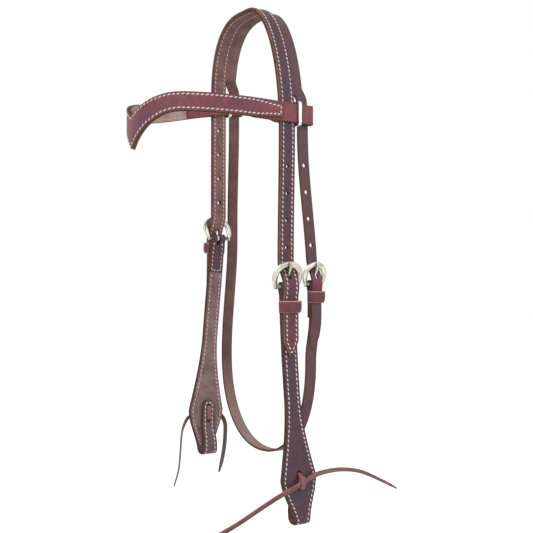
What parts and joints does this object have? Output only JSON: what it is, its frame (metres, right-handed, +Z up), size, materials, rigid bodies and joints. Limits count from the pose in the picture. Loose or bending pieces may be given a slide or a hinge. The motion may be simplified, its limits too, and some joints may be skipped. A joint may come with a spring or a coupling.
{
  "type": "western headstall",
  "caption": "Western headstall with a split crown, buckled cheekpieces, a pointed browband, a throatlatch and laced bit ends.",
  "frame": {"origin": "underside of the crown at the middle of the poll, where the headstall rests on the horse or hangs from a peg", "axes": "+Z up, -Y towards the horse's forehead and browband, +X towards the horse's left, the near side with the throat buckle"},
  "size_m": [0.1485, 0.241, 0.477],
  "materials": {
    "leather": "oiled burgundy brown bridle leather, low sheen",
    "overlay": "oiled burgundy leather with off-white stitching near its edges",
    "lace": "soft burgundy tie lace",
    "buckle_metal": "cast nickel plate, satin with worn highlights",
    "ring_metal": "bright nickel plated wire"
  },
  "bodies": {
    "headstall": {"crown": "leather", "crown_overlay": "overlay", "near_cheek_lining": "leather", "near_cheek_outer": "leather", "far_cheek_lining": "leather", "far_cheek_outer": "leather", "near_cheek_keeper": "leather", "far_cheek_keeper": "leather", "throat_keeper": "leather", "near_tie_knot": "lace", "far_tie_knot": "lace", "near_tail_front": "lace", "near_tail_rear": "lace", "far_tail_front": "lace", "far_tail_rear": "lace"},
    "near_buckle": {"near_cheek_buckle_frame": "buckle_metal"},
    "near_prong": {"near_cheek_buckle_prong": "buckle_metal"},
    "far_buckle": {"far_cheek_buckle_frame": "buckle_metal"},
    "far_prong": {"far_cheek_buckle_prong": "buckle_metal"},
    "throat_buckle": {"throat_buckle_frame": "buckle_metal"},
    "throat_prong": {"throat_buckle_prong": "buckle_metal"},
    "browband": {"browband_base": "leather", "browband_overlay": "overlay"},
    "near_ring": {"near_browband_ring": "ring_metal"},
    "far_ring": {"far_browband_ring": "ring_metal"}
  },
  "joints": [
    {"name": "near_buckle_hinge", "type": "hinge", "parent": "headstall", "child": "near_buckle", "pos_m": [0.06175, -0.0015, -0.256], "axis": [0, 1, 0], "range_deg": [0, 6]},
    {"name": "near_prong_hinge", "type": "hinge", "parent": "near_buckle", "child": "near_prong", "pos_m": [0.06175, -0.0015, -0.256], "axis": [0, 1, 0], "range_deg": [0, 8]},
    {"name": "far_buckle_hinge", "type": "hinge", "parent": "headstall", "child": "far_buckle", "pos_m": [-0.06175, -0.0015, -0.208], "axis": [0, -1, 0], "range_deg": [0, 6]},
    {"name": "far_prong_hinge", "type": "hinge", "parent": "far_buckle", "child": "far_prong", "pos_m": [-0.06175, -0.0015, -0.208], "axis": [0, -1, 0], "range_deg": [0, 8]},
    {"name": "throat_buckle_hinge", "type": "hinge", "parent": "headstall", "child": "throat_buckle", "pos_m": [0.06185, 0.0275, -0.254], "axis": [0, 1, 0], "range_deg": [0, 6]},
    {"name": "throat_prong_hinge", "type": "hinge", "parent": "throat_buckle", "child": "throat_prong", "pos_m": [0.06185, 0.0275, -0.254], "axis": [0, 1, 0], "range_deg": [0, 8]},
    {"name": "browband_slide", "type": "slide", "parent": "headstall", "child": "browband", "axis": [0, 0, 1], "range_m": [-0.006, 0.0015]},
    {"name": "near_ring_slide", "type": "slide", "parent": "browband", "child": "near_ring", "axis": [0, 1, 0], "range_m": [-0.0004, 0.0004]},
    {"name": "far_ring_slide", "type": "slide", "parent": "browband", "child": "far_ring", "axis": [0, 1, 0], "range_m": [-0.0004, 0.0004]}
  ]
}
